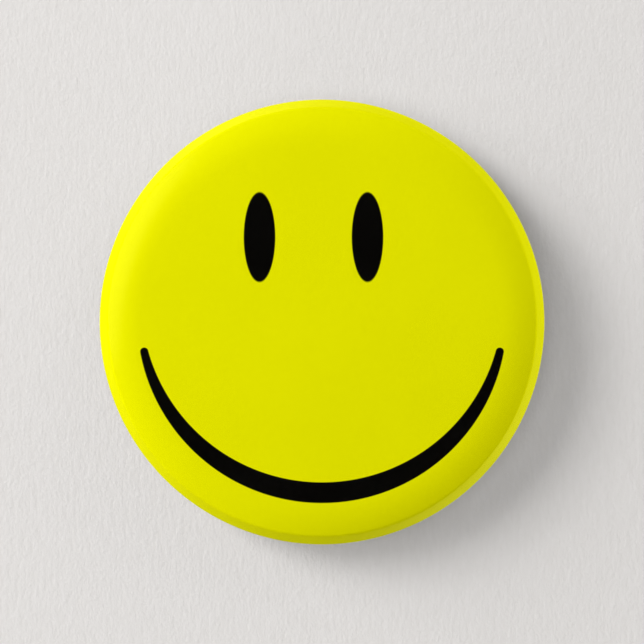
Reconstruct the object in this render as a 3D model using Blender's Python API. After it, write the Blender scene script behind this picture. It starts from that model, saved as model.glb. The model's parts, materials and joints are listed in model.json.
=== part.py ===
"""A round button badge, upright as worn: the face looks along -Y and the pin is behind it, along +Y.

The origin is on the badge's axis, in the plane where the back of the rim lies against the cloth.
Film, paper and tinplate are nested layers of one turned profile, curled together round the back
plate's flange. A bar pin with a turning safety catch is riveted to the back plate.
Lengths are in metres and angles in radians.
"""

import math

import bmesh
import bpy
from mathutils import Matrix

MM = 0.001

# Face profile, over the film: arcs and a straight wall that meet without a corner, from apex to curl.
BADGE_RADIUS = 28.575 * MM
DOME_EDGE_RADIUS = 22.9 * MM
DOME_SLOPE = math.radians(4.5)
SHOULDER_SLOPE = math.radians(26)
SHOULDER_ROUND = 0.8 * MM
WALL_SLOPE = math.radians(62)
WALL_LENGTH = 2.35 * MM
CURL_ROUND = 1.1 * MM

# Layers, from the outside in. Neighbouring layers keep a hair's gap.
FILM = 0.10 * MM
PAPER = 0.12 * MM
SHEET = 0.25 * MM
LAYER_GAP = 0.05 * MM
FILM_END = math.radians(240)
PAPER_END = math.radians(232)
SHELL_END = math.radians(225)

# Back plate: a recessed panel with a raised bead, a step up to the flange and a short skirt.
PANEL_Y = -1.45 * MM
BEAD_RADIUS = 17.6 * MM
BEAD_WIDTH = 2.6 * MM
BEAD_HEIGHT = 0.45 * MM
STEP_RADIUS = 22.4 * MM
FLANGE_RADIUS = 24.2 * MM
FLANGE_Y = -0.80 * MM
SKIRT_RADIUS = 27.25 * MM
SKIRT_ROUND = 0.40 * MM
SKIRT_END_Y = -2.1 * MM
PANEL_RING_RADIUS = 9.0 * MM

# Pin fitting, above the middle so that the badge hangs upright.
PIN_Z = 6.0 * MM
BAR_LENGTH = 30.0 * MM
BAR_WIDTH = 5.0 * MM
BAR_THICKNESS = 0.6 * MM
STEM_RADIUS = 0.5 * MM
STEM_ABOVE_BAR = 2.1 * MM
HINGE_X = 12.4 * MM
CATCH_X = -12.0 * MM
POINT_OVERHANG = 0.8 * MM
POINT_TAPER = 6.0 * MM
POINT_RADIUS = 0.06 * MM
POINT_MIDDLE_RADIUS = 0.4 * MM

# Hinge: a flattened eye between two ears, on a rivet.
EYE_RADIUS = 1.25 * MM
EYE_THICKNESS = 0.9 * MM
PIVOT_RADIUS = 0.5 * MM
PIVOT_CLEARANCE = 0.05 * MM
EAR_RADIUS = 1.3 * MM
EAR_THICKNESS = 0.5 * MM
EAR_GAP = 1.2 * MM
PIVOT_HEAD_RADIUS = 0.85 * MM
PIVOT_HEAD_HEIGHT = 0.35 * MM

# Rivets through the bar and the back plate.
RIVET_X = 5.0 * MM
RIVET_RADIUS = 0.8 * MM
RIVET_HEAD_RADIUS = 1.5 * MM
RIVET_HEAD_HEIGHT = 0.5 * MM
RIVET_TAIL_RADIUS = 1.25 * MM
FIXED_GAP = 0.03 * MM

# Catch: a slotted collar that turns inside a barrel open to the back.
COLLAR_BORE = 0.75 * MM
COLLAR_RADIUS = 1.7 * MM
COLLAR_SLOT = 1.4 * MM
BARREL_LENGTH = 3.2 * MM
BARREL_WALL = 0.45 * MM
BARREL_LIP = 0.4 * MM
BARREL_LIP_BORE = 1.2 * MM
BARREL_MOUTH = math.radians(150)
CATCH_CLEARANCE = 0.07 * MM
TAB_ANGLE = math.radians(-60)
TAB_REACH = 3.5 * MM
TAB_WIDTH = 1.7 * MM
TAB_THICKNESS = 0.5 * MM

# Facets in a full turn: round the badge, round its small parts, round the wire and along a profile.
BADGE_SEGMENTS = 40
SMALL_SEGMENTS = 20
WIRE_SEGMENTS = 12
PROFILE_SEGMENTS = 16
FEWEST_STEPS = 2

# Points closer than this are one, edges sharper than this stay sharp, and cutters run this far on.
MERGE_DISTANCE = 0.0001 * MM
SHARP_ANGLE = math.radians(35)
CUT_PAST = 0.5 * MM

# Colours of the finishes.
CLEAR = (0.95, 0.95, 0.93)
YELLOW = (0.75, 0.74, 0.0)
TIN = (0.72, 0.72, 0.70)
NICKEL = (0.74, 0.71, 0.66)
STEEL = (0.62, 0.63, 0.65)

# Worked out from the above.
BAR_FRONT_Y = PANEL_Y + LAYER_GAP
BAR_BACK_Y = BAR_FRONT_Y + BAR_THICKNESS
PIN_Y = BAR_BACK_Y + STEM_ABOVE_BAR
HINGE = (HINGE_X, PIN_Y, PIN_Z)
CATCH = (CATCH_X, PIN_Y, PIN_Z)
STEM_LENGTH = HINGE_X - CATCH_X + BARREL_LENGTH / 2 + POINT_OVERHANG
BARREL_BORE = COLLAR_RADIUS + CATCH_CLEARANCE
BARREL_RADIUS = BARREL_BORE + BARREL_WALL
SHELL_INSET = FILM + PAPER + 2 * LAYER_GAP

# Where a shape's own x, y and z point once it faces along an axis of the badge.
FACING = {
    "X": Matrix(((0, 0, 1), (1, 0, 0), (0, 1, 0))),
    "Y": Matrix(((0, 1, 0), (0, 0, 1), (1, 0, 0))),
    "Z": Matrix.Identity(3),
}


def finish(name, colour, roughness, metallic):
    """A plain surface finish."""
    material = bpy.data.materials.new(name)
    material.use_nodes = True
    shader = material.node_tree.nodes["Principled BSDF"]
    shader.inputs["Base Color"].default_value = (*colour, 1.0)
    shader.inputs["Roughness"].default_value = roughness
    shader.inputs["Metallic"].default_value = metallic
    material.diffuse_color = (*colour, 1.0)
    return material


def add_object(name, shape, material=None, place=(0.0, 0.0, 0.0)):
    """Turns a bmesh into a smooth-shaded object with its origin at place."""
    bmesh.ops.recalc_face_normals(shape, faces=shape.faces)
    mesh = bpy.data.meshes.new(name)
    shape.to_mesh(mesh)
    shape.free()
    mesh.shade_smooth()
    mesh.set_sharp_from_angle(angle=SHARP_ANGLE)
    added = bpy.data.objects.new(name, mesh)
    added.location = place
    if material:
        mesh.materials.append(material)
    bpy.context.scene.collection.objects.link(added)
    return added


def face_along(shape, axis):
    bmesh.ops.transform(shape, matrix=FACING[axis].to_4x4(), verts=shape.verts)
    return shape


def turned(outline, axis, segments):
    """A body turned about an axis from (radius, height) points that start and end on it."""
    shape = bmesh.new()
    corners = [shape.verts.new((radius, 0.0, height)) for radius, height in outline]
    edges = [shape.edges.new(pair) for pair in zip(corners, corners[1:])]
    bmesh.ops.spin(
        shape,
        geom=corners + edges,
        cent=(0.0, 0.0, 0.0),
        axis=(0.0, 0.0, 1.0),
        angle=math.tau,
        steps=segments,
        use_merge=True,
    )
    bmesh.ops.remove_doubles(shape, verts=shape.verts, dist=MERGE_DISTANCE)
    return face_along(shape, axis)


def steps_for(sweep, segments):
    """How many facets an arc gets, from those in a full turn."""
    return max(FEWEST_STEPS, round(abs(sweep) / math.tau * segments))


def swept(outline, axis, start, sweep):
    """A closed outline of (radius, height) points carried part of the way round an axis."""
    shape = bmesh.new()
    corners = [shape.verts.new((radius, 0.0, height)) for radius, height in outline]
    shape.faces.new(corners)
    centre = (0.0, 0.0, 0.0)
    bmesh.ops.rotate(shape, verts=shape.verts, cent=centre, matrix=Matrix.Rotation(start, 3, "Z"))
    bmesh.ops.spin(
        shape,
        geom=shape.verts[:] + shape.edges[:] + shape.faces[:],
        cent=centre,
        axis=(0.0, 0.0, 1.0),
        angle=sweep,
        steps=steps_for(sweep, SMALL_SEGMENTS),
    )
    return face_along(shape, axis)


def prism(outline, axis, low, high):
    """A flat outline carried along an axis from low to high."""
    shape = bmesh.new()
    base = shape.faces.new([shape.verts.new((u, v, low)) for u, v in outline])
    extruded = bmesh.ops.extrude_face_region(shape, geom=[base])["geom"]
    moved = [item for item in extruded if isinstance(item, bmesh.types.BMVert)]
    bmesh.ops.translate(shape, verts=moved, vec=(0.0, 0.0, high - low))
    return face_along(shape, axis)


def arc(centre, radius, start, end, segments=SMALL_SEGMENTS):
    """Points on an arc, both ends included. Angles run from the first axis to the second."""
    steps = steps_for(end - start, segments)
    angles = [start + (end - start) * step / steps for step in range(steps + 1)]
    return [(centre[0] + radius * math.cos(a), centre[1] + radius * math.sin(a)) for a in angles]


def combine(target, operation, *others):
    """Adds or removes hidden helper shapes."""
    for other in others:
        modifier = target.modifiers.new(other.name, "BOOLEAN")
        modifier.operation = operation
        modifier.object = other
        other.hide_render = True
        other.display_type = "WIRE"


def hole(name, radius, axis, low, high, place):
    """A round cutter along an axis."""
    outline = [(0.0, low), (radius, low), (radius, high), (0.0, high)]
    return add_object(name, turned(outline, axis, SMALL_SEGMENTS), place=place)


def face_curve(inset, end):
    """The face's profile as (radius, y) points, moved in from the film's outside by inset."""
    curl_centre = (BADGE_RADIUS - CURL_ROUND, -CURL_ROUND)
    past_curl = CURL_ROUND - SHOULDER_ROUND
    shoulder_centre = (
        curl_centre[0] + past_curl * math.sin(WALL_SLOPE) - WALL_LENGTH * math.cos(WALL_SLOPE),
        curl_centre[1] - past_curl * math.cos(WALL_SLOPE) - WALL_LENGTH * math.sin(WALL_SLOPE),
    )
    dome_round = DOME_EDGE_RADIUS / math.sin(DOME_SLOPE)
    blend_run = shoulder_centre[0] + SHOULDER_ROUND * math.sin(SHOULDER_SLOPE) - DOME_EDGE_RADIUS
    blend_round = blend_run / (math.sin(SHOULDER_SLOPE) - math.sin(DOME_SLOPE))
    past_shoulder = blend_round - SHOULDER_ROUND
    blend_centre = (
        shoulder_centre[0] - past_shoulder * math.sin(SHOULDER_SLOPE),
        shoulder_centre[1] + past_shoulder * math.cos(SHOULDER_SLOPE),
    )
    past_blend = dome_round - blend_round
    dome_centre = (0.0, blend_centre[1] + past_blend * math.cos(DOME_SLOPE))
    quarter = math.pi / 2
    stretches = (
        (dome_centre, dome_round, 0.0, DOME_SLOPE),
        (blend_centre, blend_round, DOME_SLOPE, SHOULDER_SLOPE),
        (shoulder_centre, SHOULDER_ROUND, SHOULDER_SLOPE, WALL_SLOPE),
        (curl_centre, CURL_ROUND, WALL_SLOPE, quarter),
        (curl_centre, CURL_ROUND, quarter, end),
    )
    points = []
    for centre, radius, start, stop in stretches:
        for point in arc(centre, radius - inset, start - quarter, stop - quarter, PROFILE_SEGMENTS):
            if not points or math.dist(point, points[-1]) > MERGE_DISTANCE:
                points.append(point)
    return points


def layer(name, inset, thickness, end, material):
    """One of the nested layers of the face, from its apex to its end inside the curl."""
    outline = face_curve(inset, end) + face_curve(inset + thickness, end)[::-1]
    return add_object(name, turned(outline, "Y", BADGE_SEGMENTS), material)


def plate_curve(inset):
    """The back plate's profile as (radius, y) points, moved in from its outside by inset."""
    bead = []
    for share in (-1.0, -0.5, 0.0, 0.5, 1.0):
        rise = BEAD_HEIGHT * math.cos(share * math.pi / 2)
        bead.append((BEAD_RADIUS + share * BEAD_WIDTH / 2, PANEL_Y - inset + rise))
    bend_centre = (SKIRT_RADIUS - SKIRT_ROUND, FLANGE_Y - SKIRT_ROUND)
    bend = arc(bend_centre, SKIRT_ROUND - inset, math.pi / 2, 0.0, PROFILE_SEGMENTS)
    return [
        (0.0, PANEL_Y - inset),
        (PANEL_RING_RADIUS, PANEL_Y - inset),
        *bead,
        (STEP_RADIUS, PANEL_Y - inset),
        (FLANGE_RADIUS, FLANGE_Y - inset),
        *bend,
        (SKIRT_RADIUS - inset, SKIRT_END_Y),
    ]


def back_plate(material):
    outline = plate_curve(0.0) + plate_curve(SHEET)[::-1]
    plate = add_object("back_plate", turned(outline, "Y", BADGE_SEGMENTS), material)
    low = PANEL_Y - SHEET - CUT_PAST
    high = PANEL_Y + CUT_PAST
    for side in (-1, 1):
        place = (side * RIVET_X, 0.0, PIN_Z)
        cutter = hole(f"plate_hole_{side}", RIVET_RADIUS + PIVOT_CLEARANCE, "Y", low, high, place)
        combine(plate, "DIFFERENCE", cutter)
    return plate


def bar_outline():
    """A straight bar with round ends, as (z, x) points."""
    end = BAR_LENGTH / 2 - BAR_WIDTH / 2
    right = arc((0.0, end), BAR_WIDTH / 2, 0.0, math.pi)
    left = arc((0.0, -end), BAR_WIDTH / 2, math.pi, math.tau)
    return right + left


def ear_outline():
    """A hinge ear with a round top, as (x, y) points from the bar up."""
    foot = BAR_BACK_Y - BAR_THICKNESS / 2
    top = arc((HINGE_X, PIN_Y), EAR_RADIUS, 0.0, math.pi)
    return [(HINGE_X + EAR_RADIUS, foot), *top, (HINGE_X - EAR_RADIUS, foot)]


def barrel_outline():
    """The catch barrel's wall and end lips, as (radius, x) points about the stem's axis."""
    half = BARREL_LENGTH / 2
    inner = half - BARREL_LIP
    return [
        (BARREL_RADIUS, -half),
        (BARREL_RADIUS, half),
        (BARREL_LIP_BORE, half),
        (BARREL_LIP_BORE, inner),
        (BARREL_BORE, inner),
        (BARREL_BORE, -inner),
        (BARREL_LIP_BORE, -inner),
        (BARREL_LIP_BORE, -half),
    ]


def pin_base(material):
    """The bar with its rivet holes, hinge ears and catch barrel, as one formed piece."""
    base = add_object("pin_base", prism(bar_outline(), "Y", BAR_FRONT_Y, BAR_BACK_Y), material)
    base.location.z = PIN_Z
    for side in (-1, 1):
        inner = side * EAR_GAP / 2
        outer = side * (EAR_GAP / 2 + EAR_THICKNESS)
        ear = prism(ear_outline(), "Z", min(inner, outer), max(inner, outer))
        combine(base, "UNION", add_object(f"ear_{side}", ear, place=(0.0, 0.0, PIN_Z)))
    barrel = swept(barrel_outline(), "X", BARREL_MOUTH / 2, math.tau - BARREL_MOUTH)
    combine(base, "UNION", add_object("barrel", barrel, place=CATCH))
    reach = EAR_GAP / 2 + EAR_THICKNESS + CUT_PAST
    combine(base, "DIFFERENCE", hole("ear_hole", PIVOT_RADIUS + FIXED_GAP, "Z", -reach, reach, HINGE))
    low = BAR_FRONT_Y - CUT_PAST
    high = BAR_BACK_Y + CUT_PAST
    for side in (-1, 1):
        place = (side * RIVET_X, 0.0, PIN_Z)
        cutter = hole(f"bar_hole_{side}", RIVET_RADIUS + PIVOT_CLEARANCE, "Y", low, high, place)
        combine(base, "DIFFERENCE", cutter)
    return base


def bar_rivet(name, side, material):
    """A rivet with a domed head behind the bar and a flat one inside the badge."""
    head_start = BAR_BACK_Y + FIXED_GAP
    tail_start = PANEL_Y - SHEET - FIXED_GAP
    tail_end = tail_start - RIVET_HEAD_HEIGHT
    dome_round = (RIVET_HEAD_RADIUS**2 + RIVET_HEAD_HEIGHT**2) / (2 * RIVET_HEAD_HEIGHT)
    dome_centre = (0.0, head_start + RIVET_HEAD_HEIGHT - dome_round)
    dome_end = math.acos(RIVET_HEAD_RADIUS / dome_round)
    outline = [
        *arc(dome_centre, dome_round, math.pi / 2, dome_end),
        (RIVET_RADIUS, head_start),
        (RIVET_RADIUS, tail_start),
        (RIVET_TAIL_RADIUS, tail_start),
        (RIVET_TAIL_RADIUS, tail_end),
        (0.0, tail_end),
    ]
    place = (side * RIVET_X, 0.0, PIN_Z)
    return add_object(name, turned(outline, "Y", SMALL_SEGMENTS), material, place)


def hinge_rivet(material):
    """The pivot through both ears, with a head on each side."""
    head_start = EAR_GAP / 2 + EAR_THICKNESS + FIXED_GAP
    head_end = head_start + PIVOT_HEAD_HEIGHT
    half = [(PIVOT_RADIUS, head_start), (PIVOT_HEAD_RADIUS, head_start), (PIVOT_HEAD_RADIUS, head_end)]
    lower = [(radius, -height) for radius, height in half[::-1]]
    outline = [(0.0, -head_end), *lower, *half, (0.0, head_end)]
    return add_object("hinge_rivet", turned(outline, "Z", SMALL_SEGMENTS), material, HINGE)


def pin_stem(material):
    """The pointed wire with a flattened eye. Its origin is on the hinge's axis."""
    wire_start = -(PIVOT_RADIUS + EYE_RADIUS) / 2
    outline = [
        (0.0, -STEM_LENGTH),
        (POINT_RADIUS, -STEM_LENGTH),
        (POINT_MIDDLE_RADIUS, -STEM_LENGTH + POINT_TAPER / 2),
        (STEM_RADIUS, -STEM_LENGTH + POINT_TAPER),
        (STEM_RADIUS, wire_start),
        (0.0, wire_start),
    ]
    stem = add_object("pin_stem", turned(outline, "X", WIRE_SEGMENTS), material, HINGE)
    eye = arc((0.0, 0.0), EYE_RADIUS, 0.0, math.tau)[:-1]
    half = EYE_THICKNESS / 2
    combine(stem, "UNION", add_object("eye", prism(eye, "Z", -half, half), place=HINGE))
    reach = half + CUT_PAST
    combine(stem, "DIFFERENCE", hole("eye_bore", PIVOT_RADIUS + PIVOT_CLEARANCE, "Z", -reach, reach, HINGE))
    return stem


def catch_collar(material):
    """The slotted collar with its thumb tab. Its origin is on the stem's axis."""
    half = BARREL_LENGTH / 2 - BARREL_LIP - CATCH_CLEARANCE
    outer_start = math.asin(COLLAR_SLOT / 2 / COLLAR_RADIUS)
    inner_start = math.asin(COLLAR_SLOT / 2 / COLLAR_BORE)
    outer = arc((0.0, 0.0), COLLAR_RADIUS, outer_start, math.tau - outer_start)
    inner = arc((0.0, 0.0), COLLAR_BORE, math.tau - inner_start, inner_start)
    collar = add_object("catch_collar", prism(outer + inner, "X", -half, half), material, CATCH)
    tip = TAB_REACH - TAB_WIDTH / 2
    tab_root = (COLLAR_BORE + COLLAR_RADIUS) / 2
    tab_end = arc((0.0, tip), TAB_WIDTH / 2, 0.0, math.pi)
    tab_outline = [(TAB_WIDTH / 2, tab_root), *tab_end, (-TAB_WIDTH / 2, tab_root)]
    tab = prism(tab_outline, "Z", -TAB_THICKNESS / 2, TAB_THICKNESS / 2)
    turn = Matrix.Rotation(TAB_ANGLE, 4, "X")
    bmesh.ops.transform(tab, matrix=turn, verts=tab.verts)
    combine(collar, "UNION", add_object("thumb_tab", tab, place=CATCH))
    return collar


def main():
    for existing in list(bpy.data.objects):
        bpy.data.objects.remove(existing)
    layer("clear_film", 0.0, FILM, FILM_END, finish("film", CLEAR, 0.12, 0.0))
    layer("printed_disc", FILM + LAYER_GAP, PAPER, PAPER_END, finish("printed_paper", YELLOW, 0.5, 0.0))
    layer("front_shell", SHELL_INSET, SHEET, SHELL_END, finish("shell_tinplate", TIN, 0.32, 1.0))
    back_plate(finish("back_tinplate", TIN, 0.32, 1.0))
    pin_base(finish("base_nickel", NICKEL, 0.25, 1.0))
    catch_collar(finish("catch_nickel", NICKEL, 0.22, 1.0))
    bar_rivet("rivet_left", -1, finish("left_rivet_steel", STEEL, 0.3, 1.0))
    bar_rivet("rivet_right", 1, finish("right_rivet_steel", STEEL, 0.3, 1.0))
    hinge_rivet(finish("pivot_steel", STEEL, 0.3, 1.0))
    pin_stem(finish("spring_steel", STEEL, 0.2, 1.0))


main()
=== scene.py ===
"""The looks of the button badge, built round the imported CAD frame.

The face looks along -Y, the pin is behind it along +Y, and the rim's back lies in the plane y = 0.
Every CAD node is replaced by a finer mesh of the same shape and place. Lengths are in metres,
angles in radians, and material patterns are laid out in millimetres.
"""

import json
import math

import bmesh
import bpy
from mathutils import Matrix, Vector


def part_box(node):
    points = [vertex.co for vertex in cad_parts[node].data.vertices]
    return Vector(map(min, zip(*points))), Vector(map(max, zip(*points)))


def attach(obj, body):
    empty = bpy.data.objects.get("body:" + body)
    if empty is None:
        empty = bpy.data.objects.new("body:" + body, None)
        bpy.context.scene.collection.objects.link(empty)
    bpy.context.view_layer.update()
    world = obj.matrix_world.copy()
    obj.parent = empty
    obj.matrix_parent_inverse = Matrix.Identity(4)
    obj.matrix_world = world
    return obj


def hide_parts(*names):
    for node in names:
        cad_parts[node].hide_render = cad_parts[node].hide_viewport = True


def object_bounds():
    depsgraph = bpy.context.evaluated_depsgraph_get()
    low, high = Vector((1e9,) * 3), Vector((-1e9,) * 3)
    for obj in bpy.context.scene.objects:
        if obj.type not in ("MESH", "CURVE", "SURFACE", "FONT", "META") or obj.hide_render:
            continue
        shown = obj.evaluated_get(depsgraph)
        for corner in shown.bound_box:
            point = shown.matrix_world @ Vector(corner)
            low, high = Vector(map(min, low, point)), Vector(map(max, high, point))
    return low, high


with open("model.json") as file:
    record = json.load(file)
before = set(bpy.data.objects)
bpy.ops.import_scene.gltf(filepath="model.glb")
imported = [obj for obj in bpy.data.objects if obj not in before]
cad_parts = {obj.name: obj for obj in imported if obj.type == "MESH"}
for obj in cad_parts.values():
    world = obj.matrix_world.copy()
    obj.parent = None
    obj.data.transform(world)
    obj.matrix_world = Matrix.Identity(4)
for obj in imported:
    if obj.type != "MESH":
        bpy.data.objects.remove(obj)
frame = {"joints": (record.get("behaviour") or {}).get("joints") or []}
CAD_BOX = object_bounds()

MM = 0.001
JOINT_PLACE = {joint["name"]: Vector(joint["pos_m"]) for joint in frame["joints"]}

# Face profile, over the film: arcs and a straight wall that meet without a corner, from apex to curl.
BADGE_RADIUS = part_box("clear_film")[1].x
DOME_EDGE_RADIUS = 22.9 * MM
DOME_SLOPE = math.radians(4.5)
SHOULDER_SLOPE = math.radians(26)
SHOULDER_ROUND = 0.8 * MM
WALL_SLOPE = math.radians(62)
WALL_LENGTH = 2.35 * MM
CURL_ROUND = 1.1 * MM

# Layers, from the outside in. The real film bends light, so the print shows right to its edge. This
# film doesn't, so the paper lies closer under a thinner film and fills the rest of their space.
SHEET = 0.25 * MM
LAYER_GAP = 0.05 * MM
SHELL_INSET = 0.32 * MM
FILM = 0.04 * MM
PAPER_INSET = 0.055 * MM
PAPER = SHELL_INSET - LAYER_GAP - PAPER_INSET
FILM_END = math.radians(240)
PAPER_END = math.radians(232)
SHELL_END = math.radians(225)

# Small folds where film and paper are gathered round the back of the rim, from two waves. Each wave
# has its folds in a turn, its share, and how far, how often and from where its folds crowd together.
PLEAT_START = math.radians(140)
PLEAT_FULL = math.radians(205)
PLEAT_HEIGHT = 0.11 * MM
PLEAT_WAVES = ((61, 0.62, 1.4, 5, 0.0), (97, 0.38, 2.1, 3, 1.0))
PLEAT_SHARPNESS = 1.4

# Back plate.
PANEL_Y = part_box("pin_base")[0].y - LAYER_GAP
FLANGE_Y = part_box("back_plate")[1].y
SKIRT_END_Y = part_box("back_plate")[0].y
SKIRT_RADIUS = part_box("back_plate")[1].x
SKIRT_ROUND = 0.40 * MM
BEAD_RADIUS = 17.6 * MM
BEAD_WIDTH = 2.6 * MM
BEAD_HEIGHT = 0.45 * MM
BEAD_SPREAD = 0.62
BEAD_STEPS = 20
STEP_STEPS = 10
STEP_RADIUS = 22.4 * MM
FLANGE_RADIUS = 24.2 * MM

# Pin fitting.
HINGE = JOINT_PLACE["stem_hinge"]
CATCH = JOINT_PLACE["catch_turn"]
BAR_LENGTH = 30.0 * MM
BAR_WIDTH = 5.0 * MM
BAR_FRONT_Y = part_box("pin_base")[0].y
BAR_THICKNESS = 0.6 * MM
BAR_BACK_Y = BAR_FRONT_Y + BAR_THICKNESS
STEM_RADIUS = 0.5 * MM
STEM_END_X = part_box("pin_stem")[0].x
POINT_TAPER = 6.0 * MM
POINT_RADIUS = 0.06 * MM
POINT_FULLNESS = 0.9
POINT_STEPS = 12
EYE_RADIUS = 1.25 * MM
EYE_THICKNESS = 0.9 * MM
EYE_EDGE = 0.14 * MM
PIVOT_RADIUS = 0.5 * MM
PIVOT_CLEARANCE = 0.05 * MM
EAR_RADIUS = 1.3 * MM
EAR_THICKNESS = 0.5 * MM
EAR_GAP = 1.2 * MM
PIVOT_HEAD_RADIUS = 0.85 * MM
PIVOT_HEAD_HEIGHT = 0.35 * MM
PIVOT_HEAD_EDGE = 0.12 * MM
RIVET_X = 5.0 * MM
RIVET_RADIUS = 0.8 * MM
RIVET_HOLE_RADIUS = RIVET_RADIUS + PIVOT_CLEARANCE
RIVET_HEAD_RADIUS = 1.5 * MM
RIVET_HEAD_HEIGHT = 0.5 * MM
RIVET_TAIL_RADIUS = 1.25 * MM
FIXED_GAP = 0.03 * MM
COLLAR_BORE = 0.75 * MM
COLLAR_RADIUS = 1.7 * MM
COLLAR_SLOT = 1.4 * MM
BARREL_LENGTH = 3.2 * MM
BARREL_WALL = 0.45 * MM
BARREL_LIP = 0.4 * MM
BARREL_LIP_BORE = 1.2 * MM
BARREL_MOUTH = math.radians(150)
CATCH_CLEARANCE = 0.07 * MM
TAB_ANGLE = math.radians(-60)
TAB_REACH = 3.5 * MM
TAB_WIDTH = 1.7 * MM
TAB_THICKNESS = 0.5 * MM
BARREL_BORE = COLLAR_RADIUS + CATCH_CLEARANCE
BARREL_RADIUS = BARREL_BORE + BARREL_WALL
SOFT_EDGE = 0.07 * MM
CUT_PAST = 0.5 * MM

# The printed face, in millimetres from the badge's centre: two upright ovals over one arc.
EYE_PRINT_HEIGHT = 10.7
EYE_PRINT_HALF_SPREAD = 6.80
EYE_PRINT_SHIFT = -1.07
EYE_PRINT_WIDTH = 1.99
EYE_PRINT_TALL = 5.68
SMILE_RADIUS = 23.36
SMILE_CENTRE_HEIGHT = 0.50
SMILE_BASE = 0.68
SMILE_SWELL = 1.96
SMILE_END = math.radians(79.3)
PRINT_SOFTNESS = 0.10

# The most that the film reflects, at the rim.
MOST_GLOSS = 0.08

# Facets in a full turn: of film and paper, of the stamped metal, of the small parts and of the wire.
SKIN_SEGMENTS = 480
METAL_SEGMENTS = 240
SMALL_SEGMENTS = 48
WIRE_SEGMENTS = 32

# Points closer than this are one, edges sharper than these stay sharp, or are softened first.
MERGE_DISTANCE = 0.0001 * MM
SHARP_ANGLE = math.radians(32)
BEVEL_ANGLE = math.radians(40)

# The board behind the badge, just clear of the pin, and the view of it.
BOARD_GAP = 0.35 * MM
BOARD_Y = CAD_BOX[1].y + BOARD_GAP
BOARD_SIZE = 0.8
VIEW_WIDTH = 82.6 * MM
LENS = 110.0
SENSOR = 36.0

# Soft parallel lights: name, slant from straight in front, turn to the left from the badge's right,
# width, all in degrees, and strength. Glossy surfaces don't see them.
BEAMS = (
    ("high_key", 54, 149, 24, 1.33),
    ("low_key", 70, 149, 24, 0.98),
    ("left_key", 60, 174, 28, 0.62),
    ("rim", 105, 13, 44, 2.0),
    ("fill", 70, 45, 40, 0.33),
    ("low_fill", 85, 235, 40, 0.38),
    ("front_fill", 15, 200, 40, 0.46),
    ("rear_key", 155, 125, 30, 0.75),
    ("rear_fill", 158, -30, 40, 0.25),
)

# Plain light from all round, the plain tone behind everything, and a bright panel that only glossy
# surfaces see.
SOFT_LIGHT = 0.345
BACKDROP = 0.66
PANEL_TOWARD = Vector((-0.83, -0.46, 0.31)).normalized()
PANEL_BRIGHTNESS = 1.2

FACING = {
    "X": Matrix(((0, 0, 1), (1, 0, 0), (0, 1, 0))),
    "Y": Matrix(((0, 1, 0), (0, 0, 1), (1, 0, 0))),
    "Z": Matrix.Identity(3),
}


# ---------------------------------------------------------------- materials


class Tree:
    """Nodes built by short calls. A value may be a number, a tuple or a socket."""

    def __init__(self, tree):
        self.tree = tree

    def put(self, socket, value):
        if isinstance(value, bpy.types.NodeSocket):
            self.tree.links.new(value, socket)
        else:
            socket.default_value = value

    def math(self, operation, *values, clamp=False):
        node = self.tree.nodes.new("ShaderNodeMath")
        node.operation = operation
        node.use_clamp = clamp
        for socket, value in zip(node.inputs, values):
            self.put(socket, value)
        return node.outputs[0]

    def vector(self, operation, *values, scale=None):
        node = self.tree.nodes.new("ShaderNodeVectorMath")
        node.operation = operation
        for socket, value in zip(node.inputs, values):
            self.put(socket, value)
        if scale is not None:
            node.inputs["Scale"].default_value = scale
        return node.outputs[0]

    def axes(self, vector):
        node = self.tree.nodes.new("ShaderNodeSeparateXYZ")
        self.put(node.inputs[0], vector)
        return node.outputs

    def dot(self, sockets, numbers):
        """The sum of each socket times its number."""
        parts = [self.math("MULTIPLY", socket, number) for socket, number in zip(sockets, numbers)]
        return self.math("ADD", self.math("ADD", parts[0], parts[1]), parts[2])

    def length(self, first, second):
        """The length of a flat vector."""
        squares = [self.math("POWER", part, 2.0) for part in (first, second)]
        return self.math("SQRT", self.math("ADD", *squares))

    def ramp(self, value, low, high, out_low=0.0, out_high=1.0):
        """A smooth step from out_low to out_high as value goes from low to high."""
        node = self.tree.nodes.new("ShaderNodeMapRange")
        node.interpolation_type = "SMOOTHSTEP"
        names = ("Value", "From Min", "From Max", "To Min", "To Max")
        for name, number in zip(names, (value, low, high, out_low, out_high)):
            self.put(node.inputs[name], number)
        return node.outputs[0]

    def blend(self, share, first, second):
        """A number that goes from first to second."""
        node = self.tree.nodes.new("ShaderNodeMix")
        for socket, value in zip(node.inputs, (share, None, first, second)):
            if value is not None:
                self.put(socket, value)
        return node.outputs[0]

    def mix(self, share, first, second):
        """A colour that goes from first to second."""
        node = self.tree.nodes.new("ShaderNodeMix")
        node.data_type = "RGBA"
        self.put(node.inputs["Factor"], share)
        self.put(node.inputs["A"], first)
        self.put(node.inputs["B"], second)
        return node.outputs["Result"]


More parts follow.
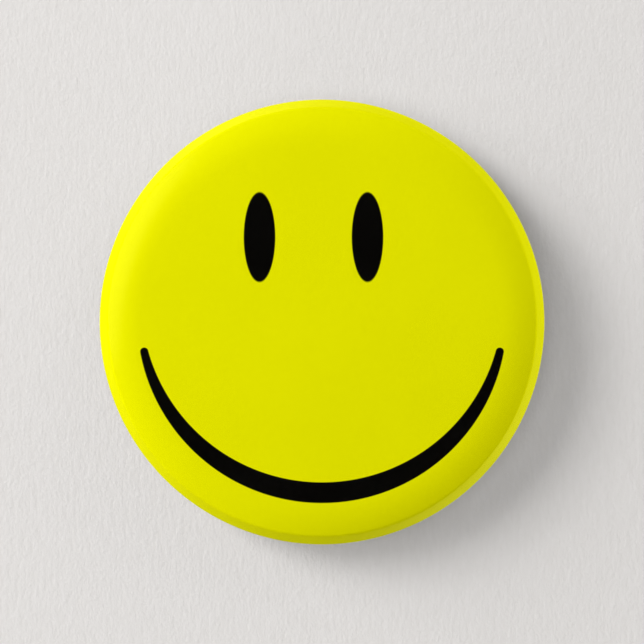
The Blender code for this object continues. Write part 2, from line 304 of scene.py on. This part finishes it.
class Graph(Tree):
    """A material's nodes. Patterns are laid out in millimetres from the object's origin."""

    def __init__(self, name):
        self.material = bpy.data.materials.new(name)
        self.material.use_nodes = True
        super().__init__(self.material.node_tree)
        self.shader = self.tree.nodes["Principled BSDF"]
        self.output = self.tree.nodes["Material Output"]
        place = self.tree.nodes.new("ShaderNodeTexCoord").outputs["Object"]
        self.place = self.vector("SCALE", place, scale=1 / MM)

    def noise(self, scale, detail=2.0, stretch=(1.0, 1.0, 1.0), roughness=0.5):
        """Noise whose scale is in features per millimetre."""
        node = self.tree.nodes.new("ShaderNodeTexNoise")
        self.put(node.inputs["Vector"], self.vector("MULTIPLY", self.place, stretch))
        node.inputs["Scale"].default_value = scale
        node.inputs["Detail"].default_value = detail
        node.inputs["Roughness"].default_value = roughness
        return node.outputs["Fac"]

    def bump(self, height, depth, under=None):
        """A bump whose full height is depth, in metres."""
        node = self.tree.nodes.new("ShaderNodeBump")
        node.inputs["Strength"].default_value = 1.0
        node.inputs["Distance"].default_value = depth
        self.put(node.inputs["Height"], height)
        if under:
            self.put(node.inputs["Normal"], under)
        return node.outputs[0]

    def edges(self, low, high):
        """Where the surface is convex enough to have been rubbed."""
        geometry = self.tree.nodes.new("ShaderNodeNewGeometry")
        return self.ramp(geometry.outputs["Pointiness"], low, high)

    def show(self, share, first, second):
        """Ends the material in a mix of two shaders."""
        mix = self.tree.nodes.new("ShaderNodeMixShader")
        for socket, value in zip(mix.inputs, (share, first, second)):
            self.put(socket, value)
        self.put(self.output.inputs["Surface"], mix.outputs[0])

    def surface(self, **values):
        """Sets inputs of the main shader, whose names have spaces for the underscores."""
        for name, value in values.items():
            self.put(self.shader.inputs[name.replace("_", " ")], value)


def colour(red, green, blue):
    return (red, green, blue, 1.0)


def eye_print(graph, side):
    """How far a point is into one oval of ink, from 0 to 1."""
    x, _, z = graph.axes(graph.place)
    across = graph.math("SUBTRACT", x, EYE_PRINT_SHIFT + side * EYE_PRINT_HALF_SPREAD)
    up = graph.math("SUBTRACT", z, EYE_PRINT_HEIGHT)
    across = graph.math("DIVIDE", across, EYE_PRINT_WIDTH)
    up = graph.math("DIVIDE", up, EYE_PRINT_TALL)
    reach = graph.length(across, up)
    softness = PRINT_SOFTNESS / EYE_PRINT_WIDTH
    return graph.ramp(reach, 1 - softness / 2, 1 + softness / 2, 1.0, 0.0)


def smile_print(graph):
    """How far a point is into the arc of ink, whose ends are round, from 0 to 1."""
    x, _, z = graph.axes(graph.place)
    down = graph.math("SUBTRACT", SMILE_CENTRE_HEIGHT, z)
    turn = graph.math("ARCTAN2", x, down)
    turn = graph.math("MAXIMUM", graph.math("MINIMUM", turn, SMILE_END), -SMILE_END)
    swell = graph.math("MULTIPLY", graph.math("COSINE", turn), SMILE_SWELL)
    half_width = graph.math("MULTIPLY", graph.math("ADD", swell, SMILE_BASE), 0.5)
    reach = graph.math("SUBTRACT", SMILE_RADIUS, half_width)
    middle_x = graph.math("MULTIPLY", reach, graph.math("SINE", turn))
    middle_down = graph.math("MULTIPLY", reach, graph.math("COSINE", turn))
    off_x = graph.math("SUBTRACT", x, middle_x)
    off_down = graph.math("SUBTRACT", down, middle_down)
    distance = graph.length(off_x, off_down)
    depth = graph.math("SUBTRACT", half_width, distance)
    return graph.ramp(depth, -PRINT_SOFTNESS / 2, PRINT_SOFTNESS / 2)


def printed_ink(graph):
    """Where the black ink is: two ovals and an arc on the front of the face."""
    ovals = graph.math("MAXIMUM", eye_print(graph, -1), eye_print(graph, 1))
    in_front = graph.math("LESS_THAN", graph.axes(graph.place)[1], -CURL_ROUND / MM)
    return graph.math("MULTIPLY", graph.math("MAXIMUM", ovals, smile_print(graph)), in_front)


def printed_paper():
    """Coated paper, printed yellow with black ovals and an arc. It throws no yellow on the board."""
    graph = Graph("printed_paper")
    ink = printed_ink(graph)
    fibre = graph.noise(2.6, 4.0, (1.0, 1.0, 0.6))
    cloud = graph.noise(0.07, 2.0)
    tone = graph.math("ADD", graph.math("MULTIPLY", fibre, 0.5), graph.math("MULTIPLY", cloud, 0.5))
    yellow = graph.mix(graph.ramp(tone, 0.3, 0.7), colour(0.77, 0.765, 0.0), colour(0.80, 0.795, 0.0))
    black = graph.mix(fibre, colour(0.0006, 0.0005, 0.0004), colour(0.003, 0.0026, 0.002))
    face = graph.mix(ink, yellow, black)
    bounce = graph.tree.nodes.new("ShaderNodeLightPath").outputs["Is Diffuse Ray"]
    graph.surface(Base_Color=graph.mix(bounce, face, colour(0.45, 0.45, 0.45)))
    graph.surface(Roughness=graph.ramp(fibre, 0.2, 0.8, 0.42, 0.55), Specular_IOR_Level=0.0)
    graph.surface(Normal=graph.bump(fibre, 0.004 * MM))
    return graph.material


def clear_film():
    """Clear polyester film: see-through, with a gloss on its outside that takes up the yellow below."""
    graph = Graph("clear_film")
    nodes = graph.tree.nodes
    clear = nodes.new("ShaderNodeBsdfTransparent")
    gloss = nodes.new("ShaderNodeBsdfGlossy")
    fresnel = nodes.new("ShaderNodeFresnel")
    fresnel.inputs["IOR"].default_value = 1.5
    geometry = nodes.new("ShaderNodeNewGeometry")
    handling = graph.noise(0.16, 3.0)
    graph.put(gloss.inputs["Roughness"], graph.ramp(handling, 0.3, 0.75, 0.13, 0.22))
    tint = graph.mix(printed_ink(graph), colour(1.0, 0.98, 0.15), colour(0.8, 0.8, 0.8))
    graph.put(gloss.inputs["Color"], tint)
    ripple = graph.noise(0.9, 2.0)
    normal = graph.bump(ripple, 0.010 * MM)
    graph.put(gloss.inputs["Normal"], normal)
    graph.put(fresnel.inputs["Normal"], normal)
    outside = graph.math("SUBTRACT", 1.0, geometry.outputs["Backfacing"])
    share = graph.math("MULTIPLY", graph.math("MINIMUM", fresnel.outputs[0], MOST_GLOSS), outside)
    graph.show(share, clear.outputs[0], gloss.outputs[0])
    nodes.remove(graph.shader)
    return graph.material


def tinplate(name, rubbed_radii):
    """Bright tinplate, grained along X and rubbed on the crests at these radii, in millimetres."""
    graph = Graph(name)
    x, _, z = graph.axes(graph.place)
    radius = graph.length(x, z)
    grain = graph.noise(5.0, 4.0, (0.03, 1.0, 1.0), 0.65)
    spangle = graph.noise(0.35, 3.0, (0.6, 1.0, 1.0))
    scuff = graph.ramp(graph.noise(0.9, 5.0, (1.0, 1.0, 0.25), 0.7), 0.60, 0.72)
    rubbed = 0.0
    for crest in rubbed_radii:
        off = graph.math("ABSOLUTE", graph.math("SUBTRACT", radius, crest))
        rubbed = graph.math("ADD", rubbed, graph.ramp(off, 0.15, 0.75, 1.0, 0.0), clamp=True)
    rubbed = graph.math("MULTIPLY", rubbed, graph.ramp(spangle, 0.35, 0.6, 0.35, 1.0))
    base = graph.mix(grain, colour(0.54, 0.53, 0.515), colour(0.70, 0.695, 0.68))
    base = graph.mix(graph.math("MULTIPLY", scuff, 0.35), base, colour(0.42, 0.41, 0.40))
    graph.surface(Base_Color=graph.mix(graph.math("MULTIPLY", rubbed, 0.6), base, colour(0.80, 0.79, 0.77)))
    rough = graph.ramp(spangle, 0.25, 0.75, 0.24, 0.36)
    rough = graph.math("ADD", rough, graph.math("MULTIPLY", scuff, 0.12))
    rough = graph.math("SUBTRACT", rough, graph.math("MULTIPLY", rubbed, 0.09))
    graph.surface(Roughness=rough, Metallic=1.0)
    normal = graph.bump(grain, 0.0022 * MM)
    graph.surface(Normal=graph.bump(spangle, 0.006 * MM, normal))
    return graph.material


def plated(name, tint, rubbed_tint, smooth, rough, edge):
    """Plated or polished steel with a soft mottle, rubbed edges and fine scuffs."""
    graph = Graph(name)
    mottle = graph.noise(1.1, 4.0)
    scuff = graph.noise(4.0, 3.0, (0.25, 1.0, 1.0), 0.6)
    wear = graph.math("MULTIPLY", graph.edges(*edge), graph.ramp(mottle, 0.3, 0.6, 0.4, 1.0))
    dull = tuple(0.78 * part for part in tint)
    base = graph.mix(graph.ramp(mottle, 0.3, 0.72), colour(*dull), colour(*tint))
    graph.surface(Base_Color=graph.mix(wear, base, colour(*rubbed_tint)), Metallic=1.0)
    dullness = graph.ramp(scuff, 0.3, 0.75, smooth, rough)
    graph.surface(Roughness=graph.math("SUBTRACT", dullness, graph.math("MULTIPLY", wear, 0.06)))
    normal = graph.bump(scuff, 0.0025 * MM)
    graph.surface(Normal=graph.bump(mottle, 0.004 * MM, normal))
    return graph.material


def drawn_wire():
    """Polished wire with drawing lines along its length."""
    graph = Graph("spring_steel")
    lines = graph.noise(9.0, 3.0, (0.02, 1.0, 1.0), 0.6)
    mottle = graph.noise(0.8, 3.0)
    base = graph.mix(lines, colour(0.46, 0.465, 0.48), colour(0.66, 0.665, 0.68))
    graph.surface(Base_Color=base, Metallic=1.0)
    graph.surface(Roughness=graph.ramp(mottle, 0.25, 0.75, 0.14, 0.26))
    graph.surface(Normal=graph.bump(lines, 0.003 * MM))
    return graph.material


# ---------------------------------------------------------------- shapes


def add_object(name, shape, material=None, place=(0.0, 0.0, 0.0)):
    """Turns a bmesh into a smooth-shaded object with its origin at place."""
    bmesh.ops.recalc_face_normals(shape, faces=shape.faces)
    mesh = bpy.data.meshes.new(name)
    shape.to_mesh(mesh)
    shape.free()
    mesh.shade_smooth()
    mesh.set_sharp_from_angle(angle=SHARP_ANGLE)
    added = bpy.data.objects.new(name, mesh)
    added.location = place
    if material:
        mesh.materials.append(material)
    bpy.context.scene.collection.objects.link(added)
    return added


def face_along(shape, axis):
    bmesh.ops.transform(shape, matrix=FACING[axis].to_4x4(), verts=shape.verts)
    return shape


def turned(outline, axis, segments):
    """A body turned about an axis from (radius, height) points that start and end on it."""
    shape = bmesh.new()
    corners = [shape.verts.new((radius, 0.0, height)) for radius, height in outline]
    edges = [shape.edges.new(pair) for pair in zip(corners, corners[1:])]
    bmesh.ops.spin(
        shape,
        geom=corners + edges,
        cent=(0.0, 0.0, 0.0),
        axis=(0.0, 0.0, 1.0),
        angle=math.tau,
        steps=segments,
        use_merge=True,
    )
    bmesh.ops.remove_doubles(shape, verts=shape.verts, dist=MERGE_DISTANCE)
    return face_along(shape, axis)


def swept(outline, axis, start, sweep, steps):
    """A closed outline of (radius, height) points carried part of the way round an axis."""
    shape = bmesh.new()
    shape.faces.new([shape.verts.new((radius, 0.0, height)) for radius, height in outline])
    centre = (0.0, 0.0, 0.0)
    bmesh.ops.rotate(shape, verts=shape.verts, cent=centre, matrix=Matrix.Rotation(start, 3, "Z"))
    bmesh.ops.spin(
        shape,
        geom=shape.verts[:] + shape.edges[:] + shape.faces[:],
        cent=centre,
        axis=(0.0, 0.0, 1.0),
        angle=sweep,
        steps=steps,
    )
    return face_along(shape, axis)


def prism(outline, axis, low, high):
    """A flat outline carried along an axis from low to high."""
    shape = bmesh.new()
    base = shape.faces.new([shape.verts.new((u, v, low)) for u, v in outline])
    extruded = bmesh.ops.extrude_face_region(shape, geom=[base])["geom"]
    moved = [item for item in extruded if isinstance(item, bmesh.types.BMVert)]
    bmesh.ops.translate(shape, verts=moved, vec=(0.0, 0.0, high - low))
    return face_along(shape, axis)


def softened(shape, width=SOFT_EDGE):
    """Rounds the sharp edges of a simple shape, as tumbling does."""
    bmesh.ops.recalc_face_normals(shape, faces=shape.faces)
    sharp = [edge for edge in shape.edges if edge.calc_face_angle(0.0) > BEVEL_ANGLE]
    bmesh.ops.bevel(shape, geom=sharp, offset=width, segments=3, profile=0.5, affect="EDGES")
    return shape


def arc(centre, radius, start, end, steps):
    """Points on an arc, both ends included. Angles run from the first axis to the second."""
    angles = [start + (end - start) * step / steps for step in range(steps + 1)]
    return [(centre[0] + radius * math.cos(a), centre[1] + radius * math.sin(a)) for a in angles]


def smoothstep(value, low, high):
    share = min(max((value - low) / (high - low), 0.0), 1.0)
    return share * share * (3 - 2 * share)


def combine(target, operation, *others):
    """Adds or removes helper shapes for good, and deletes them."""
    for other in others:
        modifier = target.modifiers.new(other.name, "BOOLEAN")
        modifier.operation = operation
        modifier.object = other
    bpy.context.view_layer.update()
    graph = bpy.context.evaluated_depsgraph_get()
    finished = bpy.data.meshes.new_from_object(target.evaluated_get(graph), depsgraph=graph)
    target.modifiers.clear()
    target.data = finished
    finished.shade_smooth()
    finished.set_sharp_from_angle(angle=SHARP_ANGLE)
    for other in others:
        bpy.data.objects.remove(other)


def hole(name, radius, axis, low, high, place):
    outline = [(0.0, low), (radius, low), (radius, high), (0.0, high)]
    return add_object(name, turned(outline, axis, SMALL_SEGMENTS), place=place)


# ---------------------------------------------------------------- the face


def face_stretches(end):
    """The arcs of the face's profile: centre, radius over the film, first and last slope, steps."""
    curl_centre = (BADGE_RADIUS - CURL_ROUND, -CURL_ROUND)
    past_curl = CURL_ROUND - SHOULDER_ROUND
    shoulder_centre = (
        curl_centre[0] + past_curl * math.sin(WALL_SLOPE) - WALL_LENGTH * math.cos(WALL_SLOPE),
        curl_centre[1] - past_curl * math.cos(WALL_SLOPE) - WALL_LENGTH * math.sin(WALL_SLOPE),
    )
    dome_round = DOME_EDGE_RADIUS / math.sin(DOME_SLOPE)
    blend_run = shoulder_centre[0] + SHOULDER_ROUND * math.sin(SHOULDER_SLOPE) - DOME_EDGE_RADIUS
    blend_round = blend_run / (math.sin(SHOULDER_SLOPE) - math.sin(DOME_SLOPE))
    past_shoulder = blend_round - SHOULDER_ROUND
    blend_centre = (
        shoulder_centre[0] - past_shoulder * math.sin(SHOULDER_SLOPE),
        shoulder_centre[1] + past_shoulder * math.cos(SHOULDER_SLOPE),
    )
    past_blend = dome_round - blend_round
    dome_centre = (0.0, blend_centre[1] + past_blend * math.cos(DOME_SLOPE))
    return (
        (dome_centre, dome_round, 0.0, DOME_SLOPE, 10),
        (blend_centre, blend_round, DOME_SLOPE, SHOULDER_SLOPE, 8),
        (shoulder_centre, SHOULDER_ROUND, SHOULDER_SLOPE, WALL_SLOPE, 7),
        (curl_centre, CURL_ROUND, WALL_SLOPE, end, 18),
    )


def pleat(around):
    """The height of the gathered folds at an angle round the rim, from 0 to 1."""
    height = 0.0
    for folds, share, crowding, times, start in PLEAT_WAVES:
        height += share * math.sin(folds * around + crowding * math.sin(times * around + start))
    return max(0.0, height) ** PLEAT_SHARPNESS


def face_rings(inset, end, pleat_height):
    """(radius, y) and share of the pleats for each ring of the skin, from the apex to its end."""
    rings = []
    for centre, radius, start, stop, steps in face_stretches(end):
        # A stretch starts on the last ring of the one before, but the curl lies past the straight wall.
        first_step = 1 if rings and radius != CURL_ROUND else 0
        for step in range(first_step, steps + 1):
            slope = start + (stop - start) * step / steps
            outward = Vector((math.sin(slope), -math.cos(slope)))
            point = Vector(centre) + (radius - inset) * outward
            lift = pleat_height * smoothstep(slope, PLEAT_START, PLEAT_FULL) * outward
            rings.append((point, lift))
    return rings


def face_layer(name, inset, thickness, end, pleat_height, segments, material):
    """One nested layer of the face, closed, with its apex on the axis."""
    outer = face_rings(inset, end, pleat_height)
    inner = face_rings(inset + thickness, end, pleat_height)[::-1]
    rings = outer[1:] + inner[:-1]
    shape = bmesh.new()
    front = shape.verts.new((0.0, outer[0][0].y, 0.0))
    back = shape.verts.new((0.0, inner[-1][0].y, 0.0))
    columns = []
    for segment in range(segments):
        around = math.tau * segment / segments
        fold = pleat(around)
        column = []
        for point, lift in rings:
            radius, y = point + fold * lift
            column.append(shape.verts.new((radius * math.sin(around), y, radius * math.cos(around))))
        columns.append(column)
    for column, following in zip(columns, columns[1:] + columns[:1]):
        shape.faces.new((front, column[0], following[0]))
        for step in range(len(rings) - 1):
            shape.faces.new((column[step], column[step + 1], following[step + 1], following[step]))
        shape.faces.new((back, following[-1], column[-1]))
    return add_object(name, shape, material)


def plate_curve(inset):
    """The back plate's profile as (radius, y) points, with a rounded bead, step and bend."""
    points = [(0.0, PANEL_Y - inset), (BEAD_RADIUS - BEAD_WIDTH, PANEL_Y - inset)]
    for step in range(BEAD_STEPS + 1):
        share = 2 * step / BEAD_STEPS - 1
        lift = BEAD_HEIGHT * (0.5 + 0.5 * math.cos(share * math.pi))
        points.append((BEAD_RADIUS + share * BEAD_WIDTH * BEAD_SPREAD, PANEL_Y - inset + lift))
    rise = FLANGE_Y - PANEL_Y
    run = FLANGE_RADIUS - STEP_RADIUS
    for step in range(STEP_STEPS + 1):
        share = step / STEP_STEPS
        y = PANEL_Y - inset + rise * smoothstep(share, 0.0, 1.0)
        points.append((STEP_RADIUS + share * run, y))
    bend_centre = (SKIRT_RADIUS - SKIRT_ROUND, FLANGE_Y - SKIRT_ROUND)
    points += arc(bend_centre, SKIRT_ROUND - inset, math.pi / 2, 0.0, 8)
    return points + [(SKIRT_RADIUS - inset, SKIRT_END_Y)]


def back_plate(material):
    outline = plate_curve(0.0) + plate_curve(SHEET)[::-1]
    plate = add_object("stamped_back", turned(outline, "Y", METAL_SEGMENTS), material)
    low = PANEL_Y - SHEET - CUT_PAST
    for side in (-1, 1):
        place = (side * RIVET_X, 0.0, HINGE.z)
        combine(plate, "DIFFERENCE", hole("cutter", RIVET_HOLE_RADIUS, "Y", low, BAR_BACK_Y, place))
    return plate


# ---------------------------------------------------------------- the pin


def bar_outline():
    """A straight bar with round ends, as (z, x) points."""
    end = BAR_LENGTH / 2 - BAR_WIDTH / 2
    right = arc((0.0, end), BAR_WIDTH / 2, 0.0, math.pi, 24)
    left = arc((0.0, -end), BAR_WIDTH / 2, math.pi, math.tau, 24)
    return right + left


def ear_outline():
    """A hinge ear with a round top, as (x, y) points from the bar up."""
    foot = BAR_FRONT_Y + BAR_THICKNESS / 2
    top = arc((HINGE.x, HINGE.y), EAR_RADIUS, 0.0, math.pi, 24)
    return [(HINGE.x + EAR_RADIUS, foot), *top, (HINGE.x - EAR_RADIUS, foot)]


def barrel_outline():
    """The catch barrel's wall and end lips, as (radius, x) points about the stem's axis."""
    half = BARREL_LENGTH / 2
    inner = half - BARREL_LIP
    return [
        (BARREL_RADIUS, -half),
        (BARREL_RADIUS, half),
        (BARREL_LIP_BORE, half),
        (BARREL_LIP_BORE, inner),
        (BARREL_BORE, inner),
        (BARREL_BORE, -inner),
        (BARREL_LIP_BORE, -inner),
        (BARREL_LIP_BORE, -half),
    ]


def pin_base(material):
    """The bar with its rivet holes, hinge ears and catch barrel."""
    place = (0.0, 0.0, HINGE.z)
    bar = softened(prism(bar_outline(), "Y", BAR_FRONT_Y, BAR_BACK_Y))
    base = add_object("pin_bar", bar, material, place)
    added = []
    for side in (-1, 1):
        inner = side * EAR_GAP / 2
        outer = side * (EAR_GAP / 2 + EAR_THICKNESS)
        ear = softened(prism(ear_outline(), "Z", min(inner, outer), max(inner, outer)))
        added.append(add_object("ear", ear, place=place))
    barrel = swept(barrel_outline(), "X", BARREL_MOUTH / 2, math.tau - BARREL_MOUTH, 40)
    added.append(add_object("barrel", softened(barrel, SOFT_EDGE / 2), place=CATCH))
    combine(base, "UNION", *added)
    reach = EAR_GAP + EAR_THICKNESS
    cutters = [hole("cutter", PIVOT_RADIUS + FIXED_GAP, "Z", -reach, reach, HINGE)]
    for side in (-1, 1):
        rivet_place = (side * RIVET_X, 0.0, HINGE.z)
        cutters.append(hole("cutter", RIVET_HOLE_RADIUS, "Y", PANEL_Y - SHEET, HINGE.y, rivet_place))
    combine(base, "DIFFERENCE", *cutters)
    return base


def bar_rivet(name, side, material):
    """A rivet with a domed head behind the bar and a flat one inside the badge."""
    head_start = BAR_BACK_Y + FIXED_GAP
    tail_start = PANEL_Y - SHEET - FIXED_GAP
    tail_end = tail_start - RIVET_HEAD_HEIGHT
    dome_round = (RIVET_HEAD_RADIUS**2 + RIVET_HEAD_HEIGHT**2) / (2 * RIVET_HEAD_HEIGHT)
    dome_centre = (0.0, head_start + RIVET_HEAD_HEIGHT - dome_round)
    dome_end = math.acos(RIVET_HEAD_RADIUS / dome_round)
    outline = [
        *arc(dome_centre, dome_round, math.pi / 2, dome_end, 10),
        (RIVET_RADIUS, head_start),
        (RIVET_RADIUS, tail_start),
        (RIVET_TAIL_RADIUS, tail_start),
        (RIVET_TAIL_RADIUS, tail_end),
        (0.0, tail_end),
    ]
    place = (side * RIVET_X, 0.0, HINGE.z)
    return add_object(name, softened(turned(outline, "Y", SMALL_SEGMENTS), SOFT_EDGE / 2), material, place)


def hinge_rivet(material):
    """The pivot through both ears, with a rounded head on each side."""
    head_start = EAR_GAP / 2 + EAR_THICKNESS + FIXED_GAP
    head_end = head_start + PIVOT_HEAD_HEIGHT
    corner = (PIVOT_HEAD_RADIUS - PIVOT_HEAD_EDGE, head_end - PIVOT_HEAD_EDGE)
    rim = arc(corner, PIVOT_HEAD_EDGE, 0.0, math.pi / 2, 5)
    half = [(PIVOT_RADIUS, head_start), (PIVOT_HEAD_RADIUS, head_start), *rim]
    lower = [(radius, -height) for radius, height in half[::-1]]
    outline = [(0.0, -head_end), *lower, *half, (0.0, head_end)]
    return add_object("hinge_pivot", turned(outline, "Z", SMALL_SEGMENTS), material, HINGE)


def pin_stem(material):
    """The pointed wire with a flattened eye round the pivot."""
    tip = STEM_END_X - HINGE.x
    wire_start = -(PIVOT_RADIUS + EYE_RADIUS) / 2
    outline = [(0.0, tip)]
    for step in range(POINT_STEPS + 1):
        share = step / POINT_STEPS
        swell = math.sin(share * math.pi / 2) ** POINT_FULLNESS
        outline.append((POINT_RADIUS + (STEM_RADIUS - POINT_RADIUS) * swell, tip + share * POINT_TAPER))
    outline += [(STEM_RADIUS, wire_start), (0.0, wire_start)]
    stem = add_object("pin_wire", turned(outline, "X", WIRE_SEGMENTS), material, HINGE)
    eye_outline = arc((0.0, 0.0), EYE_RADIUS, 0.0, math.tau, SMALL_SEGMENTS)[:-1]
    eye = prism(eye_outline, "Z", -EYE_THICKNESS / 2, EYE_THICKNESS / 2)
    combine(stem, "UNION", add_object("eye", softened(eye, EYE_EDGE), place=HINGE))
    bore_radius = PIVOT_RADIUS + PIVOT_CLEARANCE
    combine(stem, "DIFFERENCE", hole("cutter", bore_radius, "Z", -EYE_THICKNESS, EYE_THICKNESS, HINGE))
    return stem


def catch_collar(material):
    """The slotted collar with its thumb tab."""
    half = BARREL_LENGTH / 2 - BARREL_LIP - CATCH_CLEARANCE
    outer_start = math.asin(COLLAR_SLOT / 2 / COLLAR_RADIUS)
    inner_start = math.asin(COLLAR_SLOT / 2 / COLLAR_BORE)
    outer = arc((0.0, 0.0), COLLAR_RADIUS, outer_start, math.tau - outer_start, 44)
    inner = arc((0.0, 0.0), COLLAR_BORE, math.tau - inner_start, inner_start, 24)
    body = softened(prism(outer + inner, "X", -half, half), SOFT_EDGE / 2)
    collar = add_object("turning_catch", body, material, CATCH)
    tip = TAB_REACH - TAB_WIDTH / 2
    root = (COLLAR_BORE + COLLAR_RADIUS) / 2
    tab_end = arc((0.0, tip), TAB_WIDTH / 2, 0.0, math.pi, 20)
    outline = [(TAB_WIDTH / 2, root), *tab_end, (-TAB_WIDTH / 2, root)]
    tab = softened(prism(outline, "Z", -TAB_THICKNESS / 2, TAB_THICKNESS / 2))
    bmesh.ops.transform(tab, matrix=Matrix.Rotation(TAB_ANGLE, 4, "X"), verts=tab.verts)
    combine(collar, "UNION", add_object("thumb_tab", tab, place=CATCH))
    return collar


# ---------------------------------------------------------------- stage


def board_paper():
    """Pale paper with faint upright streaks and painted shade that darkens it a little to the lower right,
    clear from behind.
    """
    graph = Graph("board_paper")
    streak = graph.noise(1.7, 4.0, (1.0, 1.0, 0.22), 0.6)
    tooth = graph.noise(2.4, 3.0, (1.0, 1.0, 0.8))
    cloud = graph.noise(0.02, 1.0)
    tone = graph.math("ADD", graph.math("MULTIPLY", streak, 0.7), graph.math("MULTIPLY", cloud, 0.3))
    dark = colour(0.775, 0.752, 0.730)
    pale = colour(0.815, 0.793, 0.775)
    paper = graph.mix(graph.ramp(tone, 0.25, 0.75), dark, pale)
    x, _, z = graph.axes(graph.place)
    # Painted shade: the paper is mixed up to 12% towards black to the lower right, standing in for the
    # light falling off across the board.
    lean = graph.math("SUBTRACT", graph.math("MULTIPLY", z, 0.5), x)
    paper = graph.mix(graph.ramp(lean, -110.0, 110.0, 0.12, 0.0), paper, colour(0.0, 0.0, 0.0))
    graph.surface(Base_Color=paper, Roughness=0.85, Specular_IOR_Level=0.1)
    graph.surface(Normal=graph.bump(tooth, 0.055 * MM, graph.bump(streak, 0.045 * MM)))
    nodes = graph.tree.nodes
    clear = nodes.new("ShaderNodeBsdfTransparent")
    geometry = nodes.new("ShaderNodeNewGeometry")
    graph.show(geometry.outputs["Backfacing"], graph.shader.outputs[0], clear.outputs[0])
    return graph.material


def board():
    """The pale board behind the badge, seen from its front side only."""
    half = BOARD_SIZE / 2
    corners = [(-half, -half), (half, -half), (half, half), (-half, half)]
    shape = bmesh.new()
    shape.faces.new([shape.verts.new((x, BOARD_Y, z)) for x, z in corners])
    mesh = bpy.data.meshes.new("board")
    shape.to_mesh(mesh)
    shape.free()
    mesh.materials.append(board_paper())
    sheet = bpy.data.objects.new("board", mesh)
    bpy.context.scene.collection.objects.link(sheet)
    sheet.visible_shadow = False
    sheet.visible_glossy = False


def beam(name, slant, turn, width, strength):
    """One soft parallel light, as BEAMS lists it."""
    light = bpy.data.lights.new(name, "SUN")
    light.energy = strength
    light.angle = math.radians(width)
    across = math.sin(math.radians(slant))
    reach = math.radians(turn)
    source = Vector((across * math.cos(reach), -math.cos(math.radians(slant)), across * math.sin(reach)))
    holder = bpy.data.objects.new(name, light)
    holder.location = source
    holder.rotation_euler = (-source).to_track_quat("-Z", "Y").to_euler()
    holder.visible_glossy = False
    bpy.context.scene.collection.objects.link(holder)


def surroundings():
    """Plain soft light, with a studio that only glossy surfaces see: dark in front, striped pale behind."""
    world = bpy.data.worlds.new("studio")
    bpy.context.scene.world = world
    world.use_nodes = True
    graph = Tree(world.node_tree)
    x, y, z = graph.axes(world.node_tree.nodes.new("ShaderNodeTexCoord").outputs["Generated"])
    lean = graph.math("ADD", graph.math("MULTIPLY", x, 3.4), graph.math("MULTIPLY", z, 2.6))
    stripes = graph.math("SINE", graph.math("ADD", lean, 1.1))
    behind = graph.ramp(stripes, -1.0, 1.0, 0.22, 1.05)
    behind = graph.math("MULTIPLY", behind, graph.ramp(y, 0.1, 0.7))
    panel = graph.ramp(graph.dot((x, y, z), PANEL_TOWARD), 0.84, 0.95, 0.0, PANEL_BRIGHTNESS)
    glossy = graph.math("ADD", behind, panel)
    path = world.node_tree.nodes.new("ShaderNodeLightPath").outputs
    shade = graph.blend(path["Is Camera Ray"], SOFT_LIGHT, BACKDROP)
    shade = graph.blend(path["Is Glossy Ray"], shade, glossy)
    graph.put(world.node_tree.nodes["Background"].inputs["Color"], shade)


def camera():
    """A long lens, square to the face."""
    lens = bpy.data.cameras.new("camera")
    lens.lens = LENS
    lens.sensor_width = SENSOR
    lens.clip_start = 0.01
    lens.clip_end = 10.0
    holder = bpy.data.objects.new("camera", lens)
    holder.location.y = -CURL_ROUND - VIEW_WIDTH * LENS / SENSOR
    holder.rotation_euler = (math.pi / 2, 0.0, 0.0)
    bpy.context.scene.collection.objects.link(holder)
    bpy.context.scene.camera = holder


# ---------------------------------------------------------------- the badge


def stand_for(piece, node, body):
    """The piece is shown in place of its CAD node, and moves with that node's body."""
    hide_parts(node)
    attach(piece, body)


def badge():
    nickel = plated("nickel_plate", (0.66, 0.63, 0.575), (0.82, 0.79, 0.73), 0.16, 0.27, (0.52, 0.60))
    satin = plated("rivet_steel", (0.58, 0.58, 0.575), (0.78, 0.78, 0.77), 0.24, 0.36, (0.52, 0.60))
    back = tinplate("back_tinplate", (BEAD_RADIUS / MM, FLANGE_RADIUS / MM))
    film = face_layer("film_cover", 0.0, FILM, FILM_END, PLEAT_HEIGHT, SKIN_SEGMENTS, clear_film())
    paper = face_layer(
        "printed_face", PAPER_INSET, PAPER, PAPER_END, PLEAT_HEIGHT, SKIN_SEGMENTS, printed_paper()
    )
    shell_metal = tinplate("shell_tinplate", ())
    shell = face_layer("pressed_shell", SHELL_INSET, SHEET, SHELL_END, 0.0, METAL_SEGMENTS, shell_metal)
    stand_for(film, "clear_film", "badge")
    stand_for(paper, "printed_disc", "badge")
    stand_for(shell, "front_shell", "badge")
    stand_for(back_plate(back), "back_plate", "badge")
    stand_for(pin_base(nickel), "pin_base", "badge")
    stand_for(bar_rivet("rivet_near_catch", -1, satin), "rivet_left", "badge")
    stand_for(bar_rivet("rivet_near_hinge", 1, satin), "rivet_right", "badge")
    stand_for(hinge_rivet(satin), "hinge_rivet", "badge")
    stand_for(pin_stem(drawn_wire()), "pin_stem", "stem")
    stand_for(catch_collar(nickel), "catch_collar", "catch")


badge()
board()
for description in BEAMS:
    beam(*description)
surroundings()
camera()
bpy.context.scene.view_settings.view_transform = "Standard"
